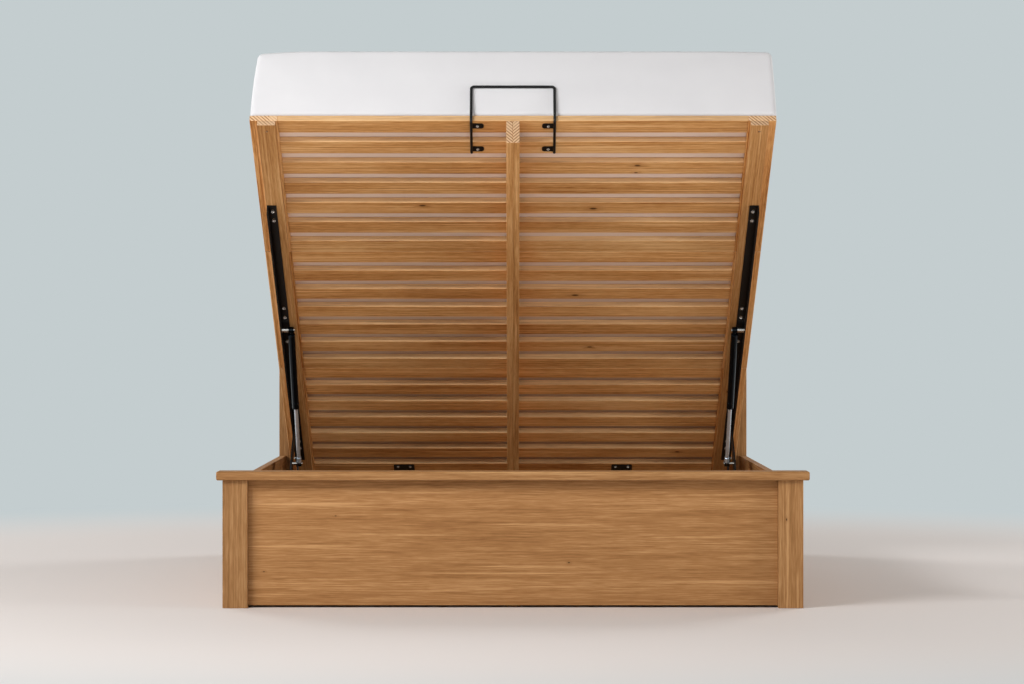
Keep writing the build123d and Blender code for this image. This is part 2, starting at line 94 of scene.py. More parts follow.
class Graph:
    """A node tree being built: add() makes any node, sets it up and links what feeds it."""

    def __init__(self, tree):
        self.tree = tree

    def feed(self, socket, value):
        if isinstance(value, Number):
            self.tree.links.new(value.socket, socket)
        elif hasattr(socket.default_value, "__len__") and len(socket.default_value) == 4:
            socket.default_value = (*value[:3], 1.0)
        else:
            socket.default_value = value

    def add(self, kind, settings, inputs, output=0):
        node = self.tree.nodes.new(kind)
        for setting, value in settings.items():
            if setting == "stops":
                stops = node.color_ramp.elements
                while len(stops) < len(value):
                    stops.new(1.0)
                for stop, (position, color) in zip(stops, value):
                    stop.position = position
                    stop.color = (*color, 1.0)
            else:
                setattr(node, setting, value)
        for socket, value in inputs.items():
            self.feed(node.inputs[socket], value)
        return Number(self, node.outputs[output])


class Finish(Graph):
    """A material's nodes, or the sky's, and the patterns that the finishes share."""

    def __init__(self, name, sky=None):
        self.owner = sky or bpy.data.materials.new(name)
        self.owner.use_nodes = True
        super().__init__(self.owner.node_tree)
        self.shader = self.tree.nodes["Background" if sky else "Principled BSDF"]

    def places(self, turn=(0, 0, 0), shift=(0, 0, 0)):
        """Object coordinates as three Numbers, turned and shifted into a piece's frame."""
        spot = self.add("ShaderNodeTexCoord", {}, {}, "Object")
        if any(turn) or any(shift):
            spot = self.add("ShaderNodeMapping", {},
                            {"Vector": spot, "Rotation": turn, "Location": shift})
        return [self.add("ShaderNodeSeparateXYZ", {}, {0: spot}, axis) for axis in "XYZ"]

    def facing(self, axis, turn):
        """1 where a piece's surface looks along one of its axes, and 0 elsewhere."""
        normal = self.add("ShaderNodeTexCoord", {}, {}, "Normal")
        normal = self.add("ShaderNodeMapping", {"vector_type": "NORMAL"},
                          {"Vector": normal, "Rotation": turn})
        part = self.add("ShaderNodeSeparateXYZ", {}, {0: normal}, axis.upper())
        return self.between(part.size(), 0.6, 0.8)

    def join(self, x, y, z):
        return self.add("ShaderNodeCombineXYZ", {}, {0: x, 1: y, 2: z})

    def noise(self, vector, scale, detail=2.0, roughness=0.5):
        inputs = {"Vector": vector, "Scale": scale, "Detail": detail, "Roughness": roughness}
        return self.add("ShaderNodeTexNoise", {}, inputs)

    def streaks(self, distance, scale, detail, roughness):
        """Noise that changes with one distance alone."""
        inputs = {"W": distance, "Scale": scale, "Detail": detail, "Roughness": roughness}
        return self.add("ShaderNodeTexNoise", {"noise_dimensions": "1D"}, inputs)

    def chance(self, number):
        """Three numbers between 0 and 1 that belong to one whole number."""
        color = self.add("ShaderNodeTexWhiteNoise", {"noise_dimensions": "1D"},
                         {"W": number}, "Color")
        return [self.add("ShaderNodeSeparateColor", {}, {0: color}, part)
                for part in ("Red", "Green", "Blue")]

    def ramp(self, factor, stops):
        return self.add("ShaderNodeValToRGB", {"stops": stops}, {0: factor})

    def mix(self, factor, first, second):
        """One colour where the factor is 0, and the other where it is 1."""
        settings = {"data_type": "RGBA"}
        return self.add("ShaderNodeMix", settings, {0: factor, 6: first, 7: second}, 2)

    def between(self, value, low, high, start=0.0, end=1.0):
        """Goes smoothly from start to end while a value goes from low to high."""
        inputs = {0: value, 1: low, 2: high, 3: start, 4: end}
        return self.add("ShaderNodeMapRange", {"interpolation_type": "SMOOTHSTEP"}, inputs)

    def relief(self, height, distance, strength):
        bump = self.add("ShaderNodeBump", {},
                        {"Strength": strength, "Distance": distance, "Height": height})
        self.feed(self.shader.inputs["Normal"], bump)

    def backdrop_rays(self):
        """1 for the rays that show the backdrop, and 0 for those that light the bed."""
        rays = [self.add("ShaderNodeLightPath", {}, {}, f"Is {kind} Ray")
                for kind in ("Camera", "Glossy", "Transmission")]
        return rays[0].most(rays[1]).most(rays[2])

    def surface(self, **values):
        for name, value in values.items():
            self.feed(self.shader.inputs[name.replace("_", " ")], value)
        return self.owner


def paint(red, green, blue):
    """A colour as a paint chart gives it, 0 to 255, made linear."""
    return tuple(((part / 255 + 0.055) / 1.055) ** 2.4 for part in (red, green, blue))


# Painted highlight: the pale tone laid on edges across the grain.
EDGE_HIGHLIGHT_COLOR = paint(240, 215, 175)
ROSY_GAINS = (1.02, 0.84, 0.68)
TONE_STOPS = (0.14, 0.5, 0.84)
GRAIN_SHARE, GLEAM_SHARE, GLEAM_EDGE = 0.9, 0.36, (0.63, 0.74)
LOG_REACH = 9.0
KNOT_LENGTH, KNOT_WIDTH = 0.17, 0.075
KNOT_SWIRL, KNOT_CORE, KNOT_PUSH = 0.26, (0.03, 0.075), 0.007
HEART_GAP, HEART_SPREAD = 0.03, 0.12
END_RINGS, END_SLANT = 800.0, 0.707
PORE_DEPTH = 0.0006
WOOD_ROUGHNESS, WOOD_SHINE = 0.56, 0.12


def toned(color, gain, lift=0.0):
    """A colour made darker or lighter."""
    return tuple(part * gain + lift for part in color)


def timber(name, dark, middle, light, along, across, board=1.0, start=0.0, seed=0,
           knots=0.05, knot_scale=1.0, contrast=1.0, rings=0.85, clouds=0.75,
           variety=0.34, ring_pitch=0.0055, sway=0.02, end_grain=None, painted_edge_highlight=0.0,
           shade=1.0, fibres=(20.0, 430.0, 0.9), turn=(0, 0, 0), shift=(0, 0, 0)):
    """Planed wood. Boards of one width lie side by side, each cut from a log of its own."""
    wood = Finish(name)
    dark, middle, light = (toned(tone, shade) for tone in (dark, middle, light))
    axes = dict(zip("xyz", wood.places(turn, shift)))
    length, width = axes.pop(along), axes.pop(across)
    depth = axes.popitem()[1]
    row = ((width - start) / board).floor()
    inside = width - start - row * board
    slide, aside, log = wood.chance(row + seed * 17.37)
    heart_side, heart_back, tint = wood.chance(row + seed * 31.71 + 0.5)
    run = length + slide * LOG_REACH

    def figure(cells_along, cells_across, detail, roughness=0.5, over=0.0, under=0.0):
        """Noise drawn out along the grain, its cells counted per metre."""
        spot = wood.join(run * cells_along, inside * cells_across + over,
                         depth * cells_across + under)
        return wood.noise(spot, 1.0, detail, roughness)

    # A few pin knots push the growth rings aside
    cell = wood.join(run / KNOT_LENGTH, (inside + aside * 3.0) / KNOT_WIDTH, log * 9.0)
    cells = {"Vector": cell, "Scale": 1.0, "Randomness": 1.0}
    flat_cells = {"voronoi_dimensions": "2D"}
    near = wood.add("ShaderNodeTexVoronoi", flat_cells, cells)
    lot = wood.add("ShaderNodeTexVoronoi", flat_cells, cells, "Color")
    luck, growth = (wood.add("ShaderNodeSeparateColor", {}, {0: lot}, part)
                    for part in ("Red", "Green"))
    has_knot = luck.above(1.0 - knots)
    away = near / ((0.5 + growth * 0.7) * knot_scale)
    bulge = wood.between(away, 0.0, KNOT_SWIRL, 1.0, 0.0) * has_knot
    core = wood.between(away, *KNOT_CORE, 1.0, 0.0) * has_knot

    # Rings round a log's heart, which lies off to one side of the board
    bend = figure(0.9, 4.0, 2.0, under=log * 7.0)
    sideways = inside - board * (heart_side * 2.4 - 0.7)
    outward = depth - (-HEART_GAP - heart_back * HEART_SPREAD)
    ring = (sideways * sideways + outward * outward).root()
    ring = ring + (bend - 0.5) * sway + bulge * KNOT_PUSH
    bands = wood.streaks(ring + aside * 5.0, 1.0 / ring_pitch, 4.0, 0.62)

    # Fibres, broad clouds, fine grain, and a few bright streaks where the rays are cut
    fibre_run, fibre_width, fibre_share = fibres
    fibre = figure(fibre_run, fibre_width, 2.0, 0.7)
    cloud = figure(1.7, 17.0, 3.0, under=tint * 9.0)
    grain = figure(4.0, 190.0, 3.0, 0.7)
    gleam = wood.between(figure(1.5, 75.0, 1.0, over=7.0), *GLEAM_EDGE)

    tone = 0.5 + (bands - 0.5) * (rings * contrast) + (fibre - 0.5) * (fibre_share * contrast)
    tone = tone + (grain - 0.5) * (GRAIN_SHARE * contrast) + (cloud - 0.5) * clouds
    tone = tone + (tint - 0.5) * variety + gleam * (GLEAM_SHARE * contrast)
    color = wood.ramp(tone, list(zip(TONE_STOPS, (dark, middle, light))))
    rosy = tuple(part * gain for part, gain in zip(middle, ROSY_GAINS))
    color = wood.mix(log * 0.15, color, rosy)
    color = wood.mix(bulge * 0.45, color, dark)
    color = wood.mix(core * 0.9, color, toned(dark, 0.22))

    # Edges across the grain are painted paler, a painted highlight, and sawn ends show the rings
    # themselves
    if painted_edge_highlight:
        edges = wood.facing(across, turn)
        color = wood.mix(edges * painted_edge_highlight, color, EDGE_HIGHLIGHT_COLOR)
    if end_grain:
        ends = wood.facing(along, turn)
        slant = (width * end_grain + depth) * END_SLANT
        lines = wood.between((((bend - 0.5) * 0.006 + slant) * END_RINGS).wave(), -0.1, 0.7)
        lines = lines * wood.between(cloud, 0.3, 0.6, 0.35, 1.0)
        sawn = wood.mix(lines * 0.8, toned(light, 0.74, 0.13), toned(dark, 0.9))
        color = wood.mix(ends, color, sawn)
    pores = figure(26.0, 1500.0, 1.0)
    wood.relief(bands * 0.45 + fibre * 0.4 + pores * 0.15, PORE_DEPTH, 0.35)
    gloss = WOOD_ROUGHNESS - (bands - 0.5) * 0.16 + core * 0.1
    return wood.surface(Base_Color=color, Roughness=gloss, Specular_IOR_Level=WOOD_SHINE)


def dress(finish, *names):
    """Gives a finish to CAD nodes that keep their shape."""
    for name in names:
        for slot in nodes[name].material_slots:
            slot.material = finish


OAK = (paint(117, 77, 40), paint(160, 116, 72), paint(196, 152, 104))
CALM = {"contrast": 0.7, "rings": 0.60, "clouds": 0.38, "variety": 0.0, "knots": 0.12,
        "knot_scale": 0.35, "sway": 0.01, "fibres": (17.0, 360.0, 1.0)}
# Each post's shade is painted light and shade: the left posts are darkened where the key lamp
# falls on them, and the right ones kept lighter, to even out how the lamps light them.
for seed, (post, shade) in enumerate((("foot_post_left", 0.85), ("foot_post_right", 0.97),
                                      ("head_post_left", 0.84), ("head_post_right", 1.15))):
    dress(timber("oak_" + post, *OAK, along="z", across="x", seed=seed + 7, shade=shade,
                 **CALM), post)
for seed, end in enumerate(("foot", "head")):
    dress(timber("oak_" + end + "_cap", *OAK, along="x", across="y", seed=seed + 11,
                 shade=0.92, **CALM), end + "_cap")
    dress(timber("oak_" + end + "_panel", *OAK, along="x", across="z", board=0.118,
                 start=-0.02, seed=seed + 21, **CALM), end + "_panel")

# The side rails, of the same oak, with the softwood ledgers inside them
# that the shut deck lies on. Their grain runs the length of the bed.
SOFTWOOD = (paint(160, 112, 66), paint(196, 150, 100), paint(218, 178, 128))
for seed, side in enumerate(("left", "right")):
    dress(timber("oak_rail_" + side, *OAK, along="y", across="z", board=0.17,
                 seed=seed + 31, **CALM), "side_rail_" + side)
    dress(timber("ledger_" + side, *SOFTWOOD, along="y", across="z", seed=seed + 35),
          "side_ledger_" + side)
    dress(timber("floor_ledger_" + side, *SOFTWOOD, along="y", across="z", seed=seed + 37),
          "floor_ledger_" + side)
    dress(timber("packer_" + side, *SOFTWOOD, along="y", across="z", board=0.09,
                 seed=seed + 39), "plate_packer_" + side)

# The storage floor: three thin boards on the ledgers, a joist down the middle and a
# cleat at each end. Sanded plywood on rough-sawn softwood.
PLYWOOD = (paint(132, 102, 70), paint(158, 126, 90), paint(178, 148, 110))
dress(timber("joist", *SOFTWOOD, along="y", across="x", seed=41), "floor_joist")
dress(timber("cleats", *SOFTWOOD, along="x", across="z", seed=43),
      "foot_floor_cleat", "head_floor_cleat")
for number in range(1, 4):
    dress(timber(f"plywood_{number}", *PLYWOOD, along="x", across="y", board=0.9,
                 seed=50 + number, knots=0.02, contrast=0.5, ring_pitch=0.012),
          f"floor_panel_{number}")

# The lifting deck's slats: three sections of seven planed pine slats, let in between
# two side boards. No two slats are of one tone, and a few have a small knot.
LIFT = math.radians(32.9)
HEAD_END = Vector((0.0, 0.85685, 0.2902))
to_deck = Matrix.Rotation(LIFT, 3, "X")
DECK_FRAME = {"turn": (LIFT, 0, 0), "shift": tuple(-(to_deck @ HEAD_END))}
PINE = (paint(150, 90, 40), paint(211, 155, 94), paint(240, 195, 138))
SLAT_WIDTH, SLAT_PITCH, HALF_GAP = 0.0576, 0.1013, 0.0218
SECTION = 0.6664
# The sections' shades are painted light and shade: the head section, deep in the box, is lightened
# and the foot section darkened to even out how the lamps light the deck. The slats' edges across
# the grain carry a painted highlight.
for seed, (section, shade) in enumerate((("head", 1.10), ("middle", 0.97), ("foot", 0.89))):
    dress(timber("pine_slats_" + section, *PINE, along="x", across="y", board=SLAT_PITCH,
                 start=-seed * SECTION - SLAT_WIDTH - HALF_GAP, seed=seed + 61, shade=shade,
                 contrast=0.95, variety=0.12, ring_pitch=0.0045, painted_edge_highlight=0.33, **DECK_FRAME),
          "slats_" + section)
    dress(timber("pine_side_boards_" + section, *PINE, along="y", across="x", board=0.7,
                 start=-0.7, seed=seed + 65, knots=0.03, contrast=0.95, end_grain=1, **DECK_FRAME),
          "side_boards_" + section)

# The bearers that carry the sections: one flat under each side, and two plies
# on edge down the middle, with their end grain to the foot.
BEARER = (paint(146, 92, 45), paint(199, 146, 89), paint(230, 183, 127))
for seed, bearer in enumerate(("side_bearer_left", "side_bearer_right")):
    dress(timber("pine_" + bearer, *BEARER, along="y", across="x", seed=seed + 71,
                 shade=0.86, contrast=0.75, end_grain=1, **DECK_FRAME), bearer)
for seed, bearer in enumerate(("centre_bearer_left", "centre_bearer_right")):
    dress(timber("pine_" + bearer, *BEARER, along="y", across="z", seed=seed + 75, knots=0.03,
                 shade=0.94, contrast=0.8, end_grain=1 - 2 * seed, **DECK_FRAME), bearer)

# The steel of the lift gear: angle bars, levers, links, side plates, the handle and the
# head plates are laser cut and bent, then powder coated black with a fine orange peel.
PEEL_CELLS, PATCH_CELLS = 900.0, 14.0


def powder_coat(name, color, roughness, peel, shine=0.25, glint=(1.0, 1.0, 1.0)):
    """A black coat: peel is how rough its orange peel is, and shine how much it mirrors."""
    coat = Finish(name)
    spot = coat.join(*coat.places())
    grain = coat.noise(spot, PEEL_CELLS)
    patch = coat.noise(spot, PATCH_CELLS)
    coat.relief(grain, 0.0004, peel)
    tint = coat.mix(patch * 0.5, color, toned(color, 1.7))
    gloss = roughness + (patch - 0.5) * 0.16 + (grain - 0.5) * 0.1
    return coat.surface(Base_Color=tint, Roughness=gloss, Specular_IOR_Level=shine,
                        Specular_Tint=glint)


black_coat = powder_coat("black_powder_coat", paint(11, 10, 10), 0.40, 0.30)
dress(black_coat, "lift_bar_left", "lift_bar_right", "lever_left", "lever_right",
      "rear_link_left", "rear_link_right", "side_plate_left", "side_plate_right",
      "head_plates", "lift_handle")

# Pins, studs and corner brackets: zinc plated steel, turned or pressed,
# faintly brushed along the bed's width and clouded.
BRUSH_ALONG, BRUSH_ACROSS, CLOUD_CELLS = 60.0, 900.0, 45.0
EYE_BLACK = paint(4, 6, 9)
EYE_EDGE = (0.0102, 0.0108)


def bare_steel(name, color, roughness, metallic=1.0, black_eye=None):
    """Steel, all bare but for an eye that is painted black round one place."""
    steel = Finish(name)
    x, y, z = steel.places()
    lines = steel.join(x * BRUSH_ALONG, y * BRUSH_ACROSS, z * BRUSH_ACROSS)
    brushed = steel.noise(lines, 1.0)
    cloud = steel.noise(steel.join(x, y, z), CLOUD_CELLS, 3.0)
    tint = steel.mix(cloud, color, toned(color, 0.72))
    steel.relief(brushed, 0.0002, 0.2)
    gloss = roughness + (cloud - 0.5) * 0.2 + (brushed - 0.5) * 0.08
    if black_eye:
        off_y, off_z = y - black_eye.y, z - black_eye.z
        bare = steel.between((off_y * off_y + off_z * off_z).root(), *EYE_EDGE)
        tint = steel.mix(bare, EYE_BLACK, tint)
        metallic = bare * metallic
    return steel.surface(Base_Color=tint, Metallic=metallic, Roughness=gloss)


zinc = bare_steel("zinc_plate", paint(206, 204, 199), 0.26)
dress(zinc, "corner_brackets", "fixed_pins", "rear_link_pins", "lever_top_pins",
      "lower_strut_studs", "upper_eye_pins", "upper_stud_stubs")

# The gas struts: a black lacquered tube over a hard chromed rod, whose lower eye is
# black too. The tube's open end is a thin sleeve, crimped on with two rows of dimples.
STRUT_PLANE = 0.698
UPPER_STUD = Vector((0.0, 0.042215, 0.775525))
STRUT_WAY = Vector((0.0, 0.632914, -0.774222))
STRUT_LENGTH = 0.5622
LOWER_STUD = UPPER_STUD + STRUT_WAY * STRUT_LENGTH
TUBE_RADIUS = 0.011
CRIMP_START, CRIMP_LENGTH, CRIMP_WALL = 0.2975, 0.0247, 0.00045
DIMPLE_ROWS, DIMPLES, DIMPLE_SIZE, DIMPLE_DEPTH = (0.0065, 0.0165), 10, 0.0017, 0.0011
RING_STEPS, RING_SIDES = 26, 80
gloss_black = powder_coat("black_lacquer", paint(2, 4, 8), 0.10, 0.01, shine=0.18,
                          glint=(0.62, 0.84, 1.0))
chrome = bare_steel("hard_chrome", paint(218, 228, 238), 0.15, metallic=0.65,
                    black_eye=LOWER_STUD)
dress(gloss_black, "strut_cylinder_left", "strut_cylinder_right")
dress(chrome, "strut_rod_left", "strut_rod_right")


def show(name, mesh, finish, smooth=True):
    """A finished mesh as an object at the origin, with one material."""
    piece = bpy.data.objects.new(name, mesh)
    bpy.context.scene.collection.objects.link(piece)
    if not mesh.materials:
        mesh.materials.append(finish)
    if smooth:
        mesh.shade_smooth()
    else:
        mesh.shade_flat()
    return piece


def crimped_end():
    """The sleeves of both struts: rings along the outside, and back along the inside."""
    shape = bmesh.new()
    across = Vector((1, 0, 0))
    lift = STRUT_WAY.cross(across)
    for side in (-1, 1):
        rings = []
        for step in range(RING_STEPS + 3):
            along = CRIMP_LENGTH * min(step, RING_STEPS) / RING_STEPS
            if step > RING_STEPS:
                along = CRIMP_LENGTH * (RING_STEPS + 2 - step)
            ring = []
            for turn in range(RING_SIDES):
                angle = 2 * math.pi * turn / RING_SIDES
                radius = TUBE_RADIUS - CRIMP_WALL
                if step <= RING_STEPS:
                    radius = TUBE_RADIUS + CRIMP_WALL * min(1, step, RING_STEPS - step)
                    for row, place in enumerate(DIMPLE_ROWS):
                        share = (DIMPLES * (angle / (2 * math.pi)) + row / 2) % 1 - 0.5
                        off = share * 2 * math.pi * TUBE_RADIUS / DIMPLES
                        far = math.hypot(off, along - place) / DIMPLE_SIZE
                        radius -= DIMPLE_DEPTH * math.exp(-far * far)
                out = across * math.cos(angle) + lift * math.sin(angle)
                middle = UPPER_STUD + STRUT_WAY * (CRIMP_START + along)
                middle.x = side * STRUT_PLANE
                ring.append(shape.verts.new(middle + out * radius))
            rings.append(ring)
        for ring, following in zip(rings, rings[1:] + rings[:1]):
            for turn in range(RING_SIDES):
                after = (turn + 1) % RING_SIDES
                shape.faces.new((ring[turn], ring[after], following[after], following[turn]))
    bmesh.ops.recalc_face_normals(shape, faces=shape.faces)
    mesh = bpy.data.meshes.new("crimped_end")
    shape.to_mesh(mesh)
    shape.free()
    return mesh


crimps = show("crimped_tube_ends", crimped_end(), gloss_black)
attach(crimps, "strut_cylinders")

# The screws: zinc plated pan heads with a cross recess, driven into the timber.
# One screw is repeated wherever the bed has one, each stopped at a turn of its own.
# Its sizes are shares of its head's radius.
HEAD_HEIGHT, HEAD_DOME = 0.45, 0.62
RECESS_DEPTH = 0.30
RECESS_FLOOR, RECESS_RIM = (0.13, 0.44), (0.20, 0.54)
HEAD_LINES = (*sorted(RECESS_FLOOR + RECESS_RIM), 0.70, 0.86, 1.0)
SHANK_RADIUS, SHANK_TIP, SHANK_LENGTH, SHANK_SIDES = 0.40, 0.12, 2.2, 12
SHANK_SINK = 0.02
bright_zinc = bare_steel("bright_zinc", paint(232, 231, 228), 0.24, metallic=0.7)


def pan_head_screw():
    """A screw for a head of radius 1, its head's underside at Z = 0."""
    shape = bmesh.new()
    lines = [-line for line in reversed(HEAD_LINES)] + list(HEAD_LINES)
    grid = []
    for across in lines:
        row = []
        for up in lines:
            x = across * math.sqrt(1 - up * up / 2)
            y = up * math.sqrt(1 - across * across / 2)
            z = HEAD_HEIGHT * math.sqrt(1 - HEAD_DOME * (x * x + y * y))
            narrow, wide = sorted((abs(across), abs(up)))
            if narrow <= RECESS_FLOOR[0] and wide <= RECESS_FLOOR[1]:
                z -= RECESS_DEPTH * (1 - 0.5 * wide / RECESS_FLOOR[1])
            row.append(shape.verts.new((x, y, z)))
        grid.append(row)
    last = len(lines) - 1
    for i in range(last):
        for j in range(last):
            shape.faces.new((grid[i][j], grid[i + 1][j], grid[i + 1][j + 1], grid[i][j + 1]))
    rim = [grid[i][0] for i in range(last)] + [grid[last][j] for j in range(last)]
    rim += [grid[i][last] for i in range(last, 0, -1)] + [grid[0][j] for j in range(last, 0, -1)]
    foot = [shape.verts.new((vert.co.x, vert.co.y, 0)) for vert in rim]
    for k, vert in enumerate(rim):
        following = (k + 1) % len(rim)
        shape.faces.new((vert, foot[k], foot[following], rim[following]))
    shape.faces.new(foot)
    shank = bmesh.ops.create_cone(
        shape, cap_ends=True, segments=SHANK_SIDES, radius1=SHANK_TIP,
        radius2=SHANK_RADIUS, depth=SHANK_LENGTH,
    )["verts"]
    bmesh.ops.translate(shape, verts=shank, vec=(0, 0, SHANK_SINK - SHANK_LENGTH / 2))
    bmesh.ops.recalc_face_normals(shape, faces=shape.faces)
    mesh = bpy.data.meshes.new("pan_head_screw")
    shape.to_mesh(mesh)
    shape.free()
    return mesh


def solids_of(node):
    """The points of each separate solid in a CAD node."""
    copy = bmesh.new()
    copy.from_mesh(nodes[node].data)
    bmesh.ops.remove_doubles(copy, verts=copy.verts, dist=1e-5)
    waiting = set(copy.verts)
    solids = []
    while waiting:
        reached = [waiting.pop()]
        for vert in reached:
            for edge in vert.link_edges:
                neighbour = edge.other_vert(vert)
                if neighbour in waiting:
                    waiting.remove(neighbour)
                    reached.append(neighbour)
        solids.append([vert.co.copy() for vert in reached])
    copy.free()
    return solids


def screw_spots(node, axes):
    """Where each screw's head tops out, and the way that its head faces."""
    spots = []
    for points in solids_of(node):
        def span(axis):
            heights = [point.dot(axis) for point in points]
            return max(heights) - min(heights)
        axis = max(axes, key=span)
        middle = sum(points, Vector()) / len(points)
        flat = middle - axis * middle.dot(axis)
        heights = [point.dot(axis) for point in points]
        widest = max(points, key=lambda point: (point - axis * point.dot(axis) - flat).length)
        side = 1 if widest.dot(axis) * 2 > max(heights) + min(heights) else -1
        spots.append((flat + axis * (max if side > 0 else min)(heights), axis * side))
    return spots


def screw_tree():
    """Geometry nodes that set a screw on every point, facing the point's aim."""
    tree = bpy.data.node_groups.new("screws_on_points", "GeometryNodeTree")
    for name, kind in (("Spots", "Geometry"), ("Screw", "Object"),
                       ("Head radius", "Float"), ("Finish", "Material")):
        tree.interface.new_socket(name, in_out="INPUT", socket_type="NodeSocket" + kind)
    tree.interface.new_socket("Screws", in_out="OUTPUT", socket_type="NodeSocketGeometry")
    layout = Graph(tree)
    spots, screw, radius, finish = (layout.add("NodeGroupInput", {}, {}, name)
                                    for name in ("Spots", "Screw", "Head radius", "Finish"))
    screw = layout.add("GeometryNodeObjectInfo", {}, {"Object": screw}, "Geometry")
    aim = layout.add("GeometryNodeInputNamedAttribute", {"data_type": "FLOAT_VECTOR"},
                     {"Name": "aim"})
    facing = layout.add("FunctionNodeAlignRotationToVector", {"axis": "Z"}, {"Vector": aim})
    turn = layout.add("FunctionNodeRandomValue", {"data_type": "FLOAT"},
                      {3: math.pi, "Seed": 5}, 1)
    twist = layout.add("FunctionNodeAxisAngleToRotation", {}, {"Axis": (0, 0, 1), "Angle": turn})
    rotation = layout.add("FunctionNodeRotateRotation", {"rotation_space": "LOCAL"},
                          {0: facing, 1: twist})
    placed = layout.add("GeometryNodeInstanceOnPoints", {}, {
        "Points": spots, "Instance": screw, "Rotation": rotation, "Scale": radius,
    })
    real = layout.add("GeometryNodeRealizeInstances", {}, {0: placed})
    finished = layout.add("GeometryNodeSetMaterial", {}, {"Geometry": real, "Material": finish})
    layout.feed(tree.nodes.new("NodeGroupOutput").inputs[0], finished)
    return tree


master_screw = bpy.data.objects.new("master_screw", pan_head_screw())
screws_on_points = screw_tree()
SOCKETS = {item.name: item.identifier for item in screws_on_points.interface.items_tree}
DOWN_FROM_DECK = to_deck.transposed() @ Vector((0, 0, -1))
SIDEWAYS, LENGTHWAYS = Vector((1, 0, 0)), Vector((0, 1, 0))
for node, body, head_radius, axes in (
    ("corner_screws", "bed_frame", 0.0060, (SIDEWAYS, LENGTHWAYS)),
    ("plate_screws", "bed_frame", 0.0045, (SIDEWAYS,)),
    ("bar_screws", "lift_deck", 0.0060, (DOWN_FROM_DECK,)),
    ("handle_screws", "lift_deck", 0.0045, (DOWN_FROM_DECK,)),
    ("head_plate_screws", "lift_deck", 0.0045, (DOWN_FROM_DECK,)),
):
    spots = screw_spots(node, axes)
    points = bpy.data.meshes.new(node + "_spots")
    seats = [top - aim * HEAD_HEIGHT * head_radius for top, aim in spots]
    points.from_pydata(seats, [], [])
    aims = points.attributes.new("aim", "FLOAT_VECTOR", "POINT")
    for index, (_, aim) in enumerate(spots):
        aims.data[index].vector = aim
    holder = bpy.data.objects.new(node + "_spots", points)
    bpy.context.scene.collection.objects.link(holder)
    layout = holder.modifiers.new("screws", "NODES")
    layout.node_group = screws_on_points
    layout[SOCKETS["Screw"]] = master_screw
    layout[SOCKETS["Head radius"]] = head_radius
    layout[SOCKETS["Finish"]] = bright_zinc
    view_layer = bpy.context.evaluated_depsgraph_get()
    mesh = bpy.data.meshes.new_from_object(holder.evaluated_get(view_layer))
    bpy.data.objects.remove(holder)
    screws = show("pan_head_" + node, mesh, bright_zinc, smooth=False)
    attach(screws, body)
    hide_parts(node)
bpy.data.objects.remove(master_screw)

# The mattress: a sprung mattress in a white fitted cotton sheet, drawn tight over its top
# and its rounded corners, full at its sides, and flat underneath where it lies on the slats.
SHEET_CORNER = 0.016
SHEET_PITCH = 0.020
CORNER_TURNS = (0, 15, 30, 45)
TAPE_WIDTH, FACE_DEPTH = SHEET_CORNER * 0.8, SHEET_CORNER * 0.5
RISE_FULLNESS, SIDE_FULLNESS = 0.008, 0.003
CORNER_REACH, CORNER_SLOPE = 0.15, 1.5
LEFT, RIGHT = -1, 1
CORNER_DROP = {LEFT: 0.011, RIGHT: 0.004}
CORNER_TUCK = {LEFT: 0.0135, RIGHT: 0.0045}
BASE_SPREAD = {LEFT: 0.006, RIGHT: 0.009}
SHEET_PRESSURE, SHEET_STIFFNESS, SHEET_BENDING, SHEET_MOMENTS = 1.0, 40, 2, 16
to_world = Matrix.Translation(HEAD_END) @ to_deck.transposed().to_4x4()


def deck_box(node):
    """A CAD node's lowest and highest corners in the deck's own frame."""
    corners = [to_deck @ (vert.co - HEAD_END) for vert in nodes[node].data.vertices]
    return [Vector(pick(corner[axis] for corner in corners) for axis in range(3))
            for pick in (min, max)]


def grid_lines(half):
    """Lines across one side of the mattress, close together round its corners."""
    corner = [half - SHEET_CORNER + SHEET_CORNER * math.tan(math.radians(angle))
              for angle in CORNER_TURNS]
    count = round(2 * (half - SHEET_CORNER) / SHEET_PITCH)
    flat = [(half - SHEET_CORNER) * (2 * step / count - 1) for step in range(1, count)]
    return [-line for line in reversed(corner)] + flat + corner


def covered_mattress(low, high):
    """A closed rounded block of even quads, whose top corners drop and draw in a little."""
    middle = (low + high) / 2
    half = (high - low) / 2
    lines = [grid_lines(part) for part in half]
    ends = [len(line) - 1 for line in lines]
    inner = half - Vector((SHEET_CORNER,) * 3)
    shape = bmesh.new()
    verts = {}

    def corner(i, j, k):
        if (i, j, k) not in verts:
            spot = Vector((lines[0][i], lines[1][j], lines[2][k]))
            core = Vector(max(-edge, min(edge, part)) for part, edge in zip(spot, inner))
            spot = core + (spot - core).normalized() * SHEET_CORNER
            near_side, near_end = (
                max(0.0, 1 - (half[axis] - abs(spot[axis])) / CORNER_REACH) ** CORNER_SLOPE
                for axis in (0, 1)
            )
            rise = 0.5 + spot.z / half.z / 2
            side = RIGHT if spot.x > 0 else LEFT
            spot.z -= CORNER_DROP[side] * near_side * near_end * rise
            spot.x += side * near_side * (BASE_SPREAD[side] - CORNER_TUCK[side] * rise ** 2)
            verts[i, j, k] = shape.verts.new(middle + spot)
        return verts[i, j, k]

    for axis in range(3):
        second, third = (axis + 1) % 3, (axis + 2) % 3
        for level in (0, ends[axis]):
            for a in range(ends[second]):
                for b in range(ends[third]):
                    loop = []
                    for step_a, step_b in ((0, 0), (1, 0), (1, 1), (0, 1)):
                        index = [0, 0, 0]
                        index[axis], index[second], index[third] = level, a + step_a, b + step_b
                        loop.append(corner(*index))
                    shape.faces.new(loop if level else loop[::-1])
    mesh = bpy.data.meshes.new("covered_mattress")
    shape.to_mesh(mesh)
    shape.free()
    return mesh


